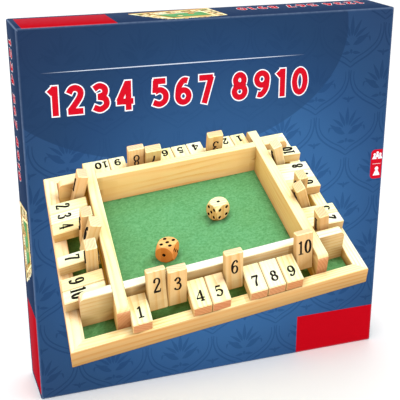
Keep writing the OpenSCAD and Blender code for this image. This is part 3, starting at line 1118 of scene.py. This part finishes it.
def damask():
    cell_wide, cell_high, millimetre = 0.058, 0.0735, 0.001
    ink = damask_ink()
    shapes = []
    for shape in damask_motif():
        points = [(u, -lift, v) for lift in (0, 1) for u, v in shape]
        shapes.append(new_piece("damask_shape", points, prism_faces(len(shape)), [ink]))
        turn_outward(shapes[-1])
    pattern = carved(shapes[0], shapes[1:], "UNION")
    pattern.transform(Matrix.Diagonal((millimetre, ink_thick, millimetre, 1)))
    first_x, first_z = 0.1135, 0.2080
    spots = []
    for column in range(-10, 4):
        for row in range(-4, 5):
            x = first_x + column * cell_wide / 2
            z = first_z + (row + 0.5 * (column % 2)) * cell_high
            spots.append((x, cover_y - ink_levels["damask"], z))
    piece = repeated("cover_damask", pattern, spots, [1.0] * len(spots), ink)
    trim(piece, (box_w / 2) - 1.5 * cover_fold)
    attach(piece, "lid")


def trim(piece, half):
    """Cuts a piece off at the edges of the cover and closes the cuts."""
    form = bmesh.new()
    form.from_mesh(piece.data)
    middle = Vector((0, 0, box_mid))
    for out in (Vector((1, 0, 0)), Vector((-1, 0, 0)), Vector((0, 0, 1)), Vector((0, 0, -1))):
        geometry = form.verts[:] + form.edges[:] + form.faces[:]
        bmesh.ops.bisect_plane(form, geom=geometry, plane_co=middle + half * out, plane_no=out,
                               clear_outer=True)
        open_edges = [edge for edge in form.edges if edge.is_boundary]
        bmesh.ops.holes_fill(form, edges=open_edges, sides=0)
    bmesh.ops.recalc_face_normals(form, faces=form.faces)
    form.to_mesh(piece.data)
    form.free()


damask()


# Printed line and numbers
# A thin white line that fades at both ends, and below it a row of red numbers with a white outline.
# The same numbers run along the four sides.
number_pens = {"outline": (0.285, 0.042), "figures": (0.205, 0)}


def speckled(finish, place, scale, dark, light):
    return finish.steps(finish.noise(place, scale, 3.0), [(0.3, swatch(*dark)), (0.7, swatch(*light))])


def spot_ink(name, dark, light):
    finish = Finish(name)
    return printed(finish, speckled(finish, finish.place(), 1400.0, dark, light))


def fading_ink():
    finish = Finish("fading_ink")
    colour = finish.blend(finish.attribute("strength"), cover_ink(finish), swatch(214, 222, 238))
    return printed(finish, colour)


def fading_line():
    start, stop, z, steps = -0.1345, 0.0729, 0.2672, 40
    wide = 0.00075
    front = cover_y - ink_levels["line"]
    back = front - ink_thick
    points, strengths, faces = [], [], []
    for step in range(steps + 1):
        t = step / steps
        x = start + t * (stop - start)
        half = wide / 2 * (0.5 + 0.5 * math.sin(math.pi * t))
        points += [(x, front, z - half), (x, front, z + half), (x, back, z + half), (x, back, z - half)]
        strengths += [min(1.0, 2.4 * math.sin(math.pi * t)) * 0.85] * 4
    for step in range(steps):
        a, b = 4 * step, 4 * step + 4
        faces += [(a + k, a + (k + 1) % 4, b + (k + 1) % 4, b + k) for k in range(4)]
    faces += [(3, 2, 1, 0), tuple(4 * steps + k for k in range(4))]
    strength = ("strength", "FLOAT", "POINT", strengths)
    piece = new_piece("cover_line", points, faces, [fading_ink()], [strength])
    turn_outward(piece)
    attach(piece, "lid")


def plain_strokes(number):
    """The strokes of a plain number one unit high, as lines for the middle of the pen."""
    low, high = 0.105, 0.895

    def line(*points):
        return list(points), False

    six = [line((0.47, 0.84), (0.33, 0.86), (0.17, 0.66), (0.125, 0.36)),
           (oval(0.32, 0.315, 0.195, 0.21), True)]
    strokes = {
        0: [(oval(0.32, 0.5, 0.205, 0.395), True)],
        1: [line((0.28, 0.0), (0.28, 1.0)), line((0.27, 0.92), (0.09, 0.76))],
        2: [line((0.11, 0.72), (0.20, 0.86), (0.35, 0.89), (0.49, 0.79), (0.48, 0.61), (0.33, 0.38),
                 (0.13, 0.13)),
            line((0.06, low), (0.57, low))],
        3: [line((0.12, 0.80), (0.30, 0.895), (0.48, 0.80), (0.46, 0.61), (0.26, 0.53)),
            line((0.26, 0.53), (0.49, 0.45), (0.52, 0.24), (0.32, 0.105), (0.10, 0.19)),
            line((0.235, 0.53), (0.38, 0.53))],
        4: [line((0.45, 0.0), (0.45, 1.0)), line((0.43, 0.95), (0.12, 0.31)),
            line((0.05, 0.30), (0.62, 0.30))],
        5: [line((0.10, high), (0.52, high)), line((0.175, 0.93), (0.15, 0.50)),
            line((0.15, 0.54), (0.34, 0.595), (0.51, 0.46), (0.50, 0.23), (0.31, 0.105), (0.09, 0.18))],
        6: six,
        7: [line((0.06, high), (0.56, high)), line((0.50, 0.92), (0.24, 0.0))],
        8: [(oval(0.32, 0.705, 0.155, 0.19), True), (oval(0.32, 0.305, 0.195, 0.20), True)],
        9: [([(0.64 - x, 1 - y) for x, y in points], closed) for points, closed in six],
    }
    return strokes[number]


def number_row(pen, ends):
    """The numbers from 1 to 10 in three groups, as one solid that is one unit high. Ends is how far
    each stroke runs on past its ends."""
    gap, space = 0.19, 0.40
    points, faces = [], []
    left = 0.0
    for text in ("1", "2", "3", "4", " ", "5", "6", "7", " ", "8", "9", "1", "0"):
        if text == " ":
            left += space
            continue
        beads = []
        for line, closed in plain_strokes(int(text)):
            if not closed:
                first, last = (Vector(line[a]) + ends * (Vector(line[a]) - Vector(line[b])).normalized()
                               for a, b in ((0, 1), (-1, -2)))
                line = [tuple(first), *line[1:-1], tuple(last)]
            beads.append(pen_stroke(line, pen, pen, closed))
        solids = []
        for bead_points, bead_faces in beads:
            solids.append(new_piece("bead", bead_points, bead_faces, []))
            turn_outward(solids[-1])
        mesh = carved(solids[0], solids[1:], "UNION") if solids[1:] else solids[0].data
        base = len(points)
        points += [(left + v.co.x, v.co.y, v.co.z) for v in mesh.vertices]
        faces += [tuple(base + v for v in p.vertices) for p in mesh.polygons]
        if not solids[1:]:
            bpy.data.objects.remove(solids[0])
        left += (0.44 if text == "1" else 0.64) + gap
    return np.array(points), faces, left - gap


# Reading direction, upright direction, outward direction and middle of the cover.
cover_directions = (Vector((1, 0, 0)), Vector((0, 0, 1)), Vector((0, -1, 0)), Vector((0, cover_y, 0)))


def side_directions(turn):
    """The same for one of the four sides of the lid."""
    out = Vector((math.sin(turn * math.pi / 2), 0, math.cos(turn * math.pi / 2)))
    up = Vector((0, -1, 0))
    low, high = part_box("box_lid")
    middle = Vector((0, (low.y + high.y) / 2, box_mid)) + out * box_w / 2
    return up.cross(out), up, out, middle


def printed_numbers():
    title_spot, title_wide = Vector((-0.0273, 0, 0.2462)), 0.2076
    side_title_left, side_title_down, side_title_wide = 0.083, 0.009, 0.110
    white_ink = spot_ink("white_ink", (226, 228, 236), (246, 247, 250))
    red_ink = spot_ink("red_ink", (196, 16, 34), (206, 22, 40))
    for label, level, ink in (
        ("outline", ink_levels["outline"], white_ink),
        ("figures", ink_levels["figure"], red_ink),
    ):
        shape, shape_faces, wide = number_row(*number_pens[label])
        places = [(*cover_directions, title_spot, title_wide / wide)]
        for turn in range(4):
            right, up, out, middle = side_directions(turn)
            offset = -side_title_left * right - side_title_down * up
            places.append((right, up, out, middle, offset, side_title_wide / wide))
        points, faces = [], []
        for right, up, out, middle, offset, scale in places:
            base = len(points)
            start = middle + offset + out * level
            for x, y, z in shape:
                spot = right * (x - wide / 2) * scale + up * (y - 0.5) * scale
                points.append(start + spot + out * z * ink_thick)
            faces += [tuple(base + v for v in face) for face in shape_faces]
        piece = new_piece("printed_number_" + label, points, faces, [ink])
        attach(piece, "lid")


fading_line()
printed_numbers()


# Player tab
# A red tab at the right edge of the cover, rounded on its inner side, with small white pictures of
# game pieces above and below a thin white rule.
def tab_solid(outlines, level, name, ink):
    """A thin closed layer of ink with the given outlines, in metres on the cover."""
    points, faces = [], []
    for shape in outlines:
        faces += prism_faces(len(shape), len(points))
        points += [(u, cover_y - level - lift, v) for lift in (0, ink_thick) for u, v in shape]
    piece = new_piece(name, points, faces, [ink])
    turn_outward(piece)
    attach(piece, "lid")


def player_tab():
    left, right, low, high, corner = 0.1382, box_w / 2 - cover_fold, 0.1564, 0.1821, 0.0035
    body = [(right, low), (right, high)]
    for middle_z, start in ((high - corner, 90), (low + corner, 180)):
        for step in range(9):
            a = math.radians(start + 90 * step / 8)
            body.append((left + corner + corner * math.cos(a), middle_z + corner * math.sin(a)))
    tab_solid([body], ink_levels["outline"], "player_tab", bpy.data.materials["red_ink"])

    def disc(x, z, radius):
        turns = [math.tau * i / 14 for i in range(14)]
        return [(x + radius * math.cos(a), z + radius * math.sin(a)) for a in turns]

    def pawn(x, z, size):
        skirt = [(-0.42, 0), (0.42, 0), (0.36, 0.15), (0.12, 0.62), (-0.12, 0.62), (-0.36, 0.15)]
        skirt = [(x + u * size, z + v * size) for u, v in skirt]
        return [skirt, disc(x, z + 0.78 * size, 0.22 * size)]

    middle, step, foot, small, large = 0.1442, 0.0027, 0.1738, 0.0052, 0.0078
    signs = []
    for x, z in ((middle - step, foot), (middle, foot + 0.0014), (middle + step, foot)):
        signs += pawn(x, z, small)
    rule_left, rule_right, rule_low, rule_high = left + 0.0018, right - 0.0012, 0.1694, 0.1697
    signs.append([(rule_left, rule_low), (rule_right, rule_low),
                  (rule_right, rule_high), (rule_left, rule_high)])
    signs += pawn(middle, 0.1592, large)
    tab_solid(signs, ink_levels["figure"], "player_signs", bpy.data.materials["white_ink"])


player_tab()


# Printed picture
# The cover shows the wooden game laid out for play, with some tiles tipped up. The picture is made
# as a print is: the same pieces are set out, lit and seen from one place, then pressed almost flat.
def to_board(points):
    """Places in the box as places on the game lying flat: x to the right, y up the cover, z up."""
    points = np.asarray(points, float)
    return np.column_stack([points[:, 0], points[:, 2] - box_mid, board_back - points[:, 1]])


def sliced(form, axis, spacing):
    """Cuts all faces along planes across an axis, and leaves the shape as it is."""
    normal = Vector([1.0 if k == axis else 0.0 for k in range(3)])
    places = [v.co[axis] for v in form.verts]
    cuts = int((max(places) - min(places)) / spacing)
    for cut in range(1, cuts + 1):
        spot = normal * (min(places) + cut * (max(places) - min(places)) / (cuts + 1))
        geometry = form.verts[:] + form.edges[:] + form.faces[:]
        bmesh.ops.bisect_plane(form, geom=geometry, plane_co=spot, plane_no=normal)


def arrays(form):
    form.verts.index_update()
    made = np.array([v.co for v in form.verts]), [tuple(v.index for v in f.verts) for f in form.faces]
    form.free()
    return made


def board_solid(node, spacings):
    """A copy of one of the game's own solids, lying flat, with its points joined and its faces cut."""
    form = bmesh.new()
    form.from_mesh(frame["nodes"][node].data)
    for vert, spot in zip(form.verts, to_board([v.co for v in form.verts])):
        vert.co = spot
    bmesh.ops.remove_doubles(form, verts=form.verts, dist=0.000002)
    for axis, spacing in enumerate(spacings):
        if spacing:
            sliced(form, axis, spacing)
    return arrays(form)


def small_block(size, edge, slices):
    """A block about the origin with its edges planed off."""
    form = bmesh.new()
    bmesh.ops.create_cube(form, size=1.0)
    bmesh.ops.scale(form, vec=size, verts=form.verts)
    bmesh.ops.bevel(form, geom=form.edges[:] + form.verts[:], offset=edge, segments=1, affect="EDGES")
    sliced(form, 1, size[1] / slices)
    return arrays(form)


def picture_solids():
    """The game laid out for the picture, as (points, faces, finish, log places, number, grain)."""
    raised = {"bottom": {2: 112, 3: 97, 6: 104, 10: 109}, "right": {1: 100, 4: 113, 5: 95, 9: 108},
              "top": {3: 101, 7: 110, 8: 96}, "left": {1: 108, 5: 99, 6: 112, 8: 94}}
    solids = []
    for k, row in enumerate(ROWS):
        long_axis = k % 2
        for part, spacings in (("bar", (12, 12, 0)), ("wall", (13, 13, 7))):
            spacings = [s / 1000 if a == 2 or a == long_axis else 0 for a, s in enumerate(spacings)]
            points, faces = board_solid(f"{row}_{part}", spacings)
            log = points[:, [long_axis, 1 - long_axis, 2]]
            grain = np.eye(3)[long_axis]
            solids.append((points, faces, 0, log, k + (4 if part == "wall" else 0), grain))
    points, faces = board_solid("felt_sheet", (0.009, 0.009, 0))
    solids.append((points, faces, 1, points, 0, None))
    points, faces = board_solid("tile_rods", (0, 0, 0))
    solids.append((points, faces, 2, points, 0, None))
    shown_long, shown_wide, hole_in, number_out = 0.0310, 0.01427, 0.0068, 0.0013
    block, block_faces = small_block((shown_wide, shown_long, tile_thick), 0.0007, 4)
    for row in ROWS:
        for i in range(1, 11):
            spot, across, along, out = tile_directions(row, i)
            angle = math.radians(raised[row].get(i, 0) + 0.6 * math.sin(7 * i))
            turn = Matrix.Rotation(-angle, 3, across)
            across, along, out = turn @ across, turn @ along, turn @ out
            axes = np.array([across, along, out])
            points = np.array(spot) + (block + np.array([0, hole_in - shown_long / 2, 0])) @ axes
            number = 11 * ROWS.index(row) + i + 20
            grain = to_board([spot + along])[0] - to_board([spot])[0]
            solids.append((to_board(points), block_faces, 0, block[:, [1, 0, 2]], number, grain))
            marks, _ = tile_faces_numbers(row, i)
            turned = np.array([spot + turn @ (Vector(p) - spot) - number_out * along for p in marks])
            half = len(turned) // 2
            for side, part in ((1, turned[:half]), (-1, turned[half:])):
                part = part + side * np.array(out) * 0.0009 * (np.tile(numerals[i][0][:, 2:], (1, 3)) > 0.5)
                solids.append((to_board(part), numerals[i][1], 3, to_board(part), 0, None))
    floor = board_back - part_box("felt_sheet")[0].y
    for x, y, spin, tilt, top in ((0.022, 0.014, 24, 0, 1), (-0.031, -0.026, -33, 90, 0)):
        spun = Matrix.Rotation(math.radians(spin), 3, "Z") @ Matrix.Rotation(math.radians(tilt), 3, "X")
        across, up = spun @ Vector((1, 0, 0)), spun @ Vector((0, 1, 0))
        if top:
            across, up = up, -across
        points, faces, pips = die_form(Vector((x, y, floor + 0.0076)), across, up, 30, 0.0016)
        form = bmesh.new()
        mesh = bpy.data.meshes.new("die_shape")
        mesh.from_pydata([tuple(p) for p in points], [], faces)
        layer = mesh.attributes.new("pip", "FLOAT", "POINT")
        layer.data.foreach_set("value", pips)
        form.from_mesh(mesh)
        bmesh.ops.remove_doubles(form, verts=form.verts, dist=0.000001)
        pip_layer = form.verts.layers.float["pip"]
        kept = np.array([v[pip_layer] for v in form.verts])
        points, faces = arrays(form)
        log = np.column_stack([points[:, 0], points[:, 1], kept])
        solids.append((points, faces, 4, log, 3 + top, np.array(across)))
        bpy.data.meshes.remove(mesh)
    return solids


def picture_light(solids):
    """The colour of the light at each corner of each face: a bright room, what the pieces near by
    throw back, and one soft lamp close above the game."""
    lamp, lamp_size = Vector((0.10, -0.03, 0.36)), 0.07
    thrown_back = {
        0: np.array((0.66, 0.44, 0.20)), 1: np.array((0.42, 0.52, 0.22)), 2: np.array((0.4, 0.4, 0.4)),
        4: np.array((0.5, 0.3, 0.13)),
    }
    table = np.array((0.88, 0.60, 0.44))
    all_points, all_faces, bounces, base = [], [], [], 0
    for points, faces, finish, *_ in solids:
        if finish == 3:
            continue
        all_points += [Vector(p) for p in points]
        all_faces += [tuple(base + v for v in face) for face in faces]
        bounces += [thrown_back[finish]] * len(faces)
        base += len(points)
    ground = [(-1, -1, -0.001), (1, -1, -0.001), (1, 1, -0.001), (-1, 1, -0.001)]
    all_points += [Vector(p) for p in ground]
    all_faces.append((base, base + 1, base + 2, base + 3))
    bounces.append(table)
    scene_tree = BVHTree.FromPolygons(all_points, all_faces)
    rays, ray_count, golden_angle = [], 18, 2.39996
    for i in range(ray_count):
        height = math.sqrt(1 - (i + 0.5) / ray_count)
        a = i * golden_angle
        out = math.sqrt(1 - height * height)
        rays.append((out * math.cos(a), out * math.sin(a), height))
    spread = ((0, 0, 0), (1, 0, 0), (-0.5, 0.87, 0), (-0.5, -0.87, 0))
    lamps = [lamp + lamp_size * Vector(aside) for aside in spread]
    lights = []
    for points, faces, finish, *_ in solids:
        for face in faces:
            corners = [Vector(points[v]) for v in face]
            if finish == 3:
                lights += [(0.9, 0.9, 0.9)] * len(corners)
                continue
            middle = sum(corners, Vector()) / len(corners)
            normal = Vector((0, 0, 0))
            for a, b in zip(corners, corners[1:] + corners[:1]):
                normal += a.cross(b)
            if normal.length < 1e-12 or normal.dot(picture_eye - middle) <= 0:
                lights += [(0.5, 0.5, 0.5)] * len(corners)
                continue
            normal.normalize()
            side = normal.orthogonal().normalized()
            over = normal.cross(side)
            ways = [u * side + v * over + w * normal for u, v, w in rays]
            for corner in corners:
                start = corner + (middle - corner) * 0.06 + normal * 0.0003
                room = np.zeros(3)
                for way in ways:
                    _, _, hit, far = scene_tree.ray_cast(start, way)
                    if hit is None:
                        room += 0.72 + 0.28 * way.z
                    else:
                        room += bounces[hit] * (0.05 + 0.95 * min(far / 0.04, 1.0))
                key = 0.0
                for spot in lamps:
                    way = (spot - start).normalized()
                    if normal.dot(way) > 0 and scene_tree.ray_cast(start, way)[0] is None:
                        key += normal.dot(way) / len(lamps)
                lights.append(room / len(rays) * 0.98 + key * np.array((0.60, 0.58, 0.52)))
    return np.array(lights) ** (1.1, 1.3, 1.6)


def picture_ink(name, colour_of):
    """Ink that shows a surface of the game under the picture's own light."""
    finish = Finish(name)
    colour = finish.blend(1.0, colour_of(finish), finish.attribute("light", "Vector"), "MULTIPLY")
    return printed(finish, colour)


def shown_pine(finish):
    log = finish.attribute("log", "Vector")
    return pine(finish, log, finish.attribute("number"), "x", finish.attribute("end"),
                ((255, 243, 214), (244, 214, 164)), ((240, 203, 182), (224, 180, 154)))[0]


def shown_felt(finish):
    place = finish.attribute("log", "Vector")
    fluff = finish.noise(place, 500.0, 4.0, 0.7)
    return finish.steps(fluff, [(0.35, swatch(75, 129, 80)), (0.65, swatch(100, 154, 105))])


def shown_steel(finish):
    return speckled(finish, finish.attribute("log", "Vector"), 800.0, (170, 166, 158), (214, 210, 200))


def shown_paint(finish):
    return speckled(finish, finish.attribute("log", "Vector"), 900.0, (24, 20, 18), (48, 40, 34))


def shown_die(finish):
    log = finish.attribute("log", "Vector")
    x, y, pip = finish.parts(log)
    grain = finish.add("CombineXYZ", {0: x, 1: y, 2: 0.0}).outputs[0]
    number = finish.attribute("number")
    colour = pine(finish, grain, number, "x", 0.2, ((255, 234, 188), (238, 202, 148)))[0]
    colour = finish.blend(finish.math("LESS_THAN", number, 3.5), colour, swatch(246, 208, 178), "MULTIPLY")
    return finish.blend(finish.math("LESS_THAN", pip, 0.96), colour, swatch(24, 20, 18))


picture_eye_turn, picture_eye_rise, picture_eye_far = math.radians(-9.8), math.radians(20.8), 1.091
picture_target = Vector((0.0474, 0.4852, 0.012))
picture_eye = picture_target + picture_eye_far * Vector((
    math.sin(picture_eye_turn) * math.cos(picture_eye_rise),
    -math.cos(picture_eye_turn) * math.cos(picture_eye_rise),
    math.sin(picture_eye_rise),
))


def pressed(points):
    """The layout as the picture shows it: places on the print, one unit wide, and a height from 0 to 1."""
    ahead = (picture_target - picture_eye).normalized()
    right = ahead.cross(Vector((0, 0, 1))).normalized()
    up = right.cross(ahead)
    seen = (points - np.array(picture_eye)) @ np.array([right, up, ahead]).T
    near = 1 / seen[:, 2]
    return np.column_stack([seen[:, 0] * near, seen[:, 1] * near, near])


def printed_pictures():
    solids = picture_solids()
    lights = picture_light(solids)
    points = np.concatenate([pressed(s[0]) for s in solids])
    logs = np.concatenate([s[3] for s in solids])
    numbers = np.concatenate([np.full(len(s[0]), float(s[4])) for s in solids])
    faces, finishes, ends, base = [], [], [], 0
    for spots, solid_faces, finish, _, _, grain in solids:
        for face in solid_faces:
            faces.append(tuple(base + v for v in face))
            finishes.append(finish)
            a, b, c = (spots[face[k]] for k in (0, 1, 2))
            normal = np.cross(b - a, c - a)
            facing = abs(normal @ grain) / (np.linalg.norm(normal) + 1e-15) if grain is not None else 0.0
            ends.append(1.0 if facing > 0.8 else 0.0)
        base += len(spots)
    low, high = points.min(0), points.max(0)
    middle, wide = (low + high) / 2, high[0] - low[0]
    points = (points - [middle[0], middle[1], low[2]]) / wide
    points[:, 2] /= points[:, 2].max()
    scale, print_x, print_z = 0.6285, -0.0519, 0.3068
    spot = Vector((print_x + scale * middle[0], 0, print_z + scale * middle[1]))
    inks = [picture_ink(*ink) for ink in (
        ("picture_pine", shown_pine), ("picture_felt", shown_felt), ("picture_steel", shown_steel),
        ("picture_paint", shown_paint), ("picture_die", shown_die),
    )]
    level, relief = 0.00006, 0.0004
    side_right, side_down, side_wide, side_tall = 0.0245, 0.0003, 0.0705, 0.9
    jobs = [("cover_picture", *cover_directions, spot, scale * wide, 1.0, relief)]
    for turn in range(4):
        right, up, out, middle = side_directions(turn)
        place = side_right * right - side_down * up
        size = (side_wide, side_tall, 0.25 * relief)
        jobs.append((f"side_picture_{turn + 1}", right, up, out, middle, place, *size))
    for name, right, up, out, middle, place, wide, tall, depth in jobs:
        axes = np.array([right * wide, up * wide * tall, out * depth])
        piece = new_piece(name, np.array(middle + place + out * level) + points @ axes, faces, inks, [
            ("log", "FLOAT_VECTOR", "POINT", logs),
            ("number", "FLOAT", "POINT", numbers),
            ("end", "FLOAT", "FACE", ends),
            ("light", "FLOAT_VECTOR", "CORNER", lights),
        ], finishes)
        turn_outward(piece)
        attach(piece, "lid")


printed_pictures()
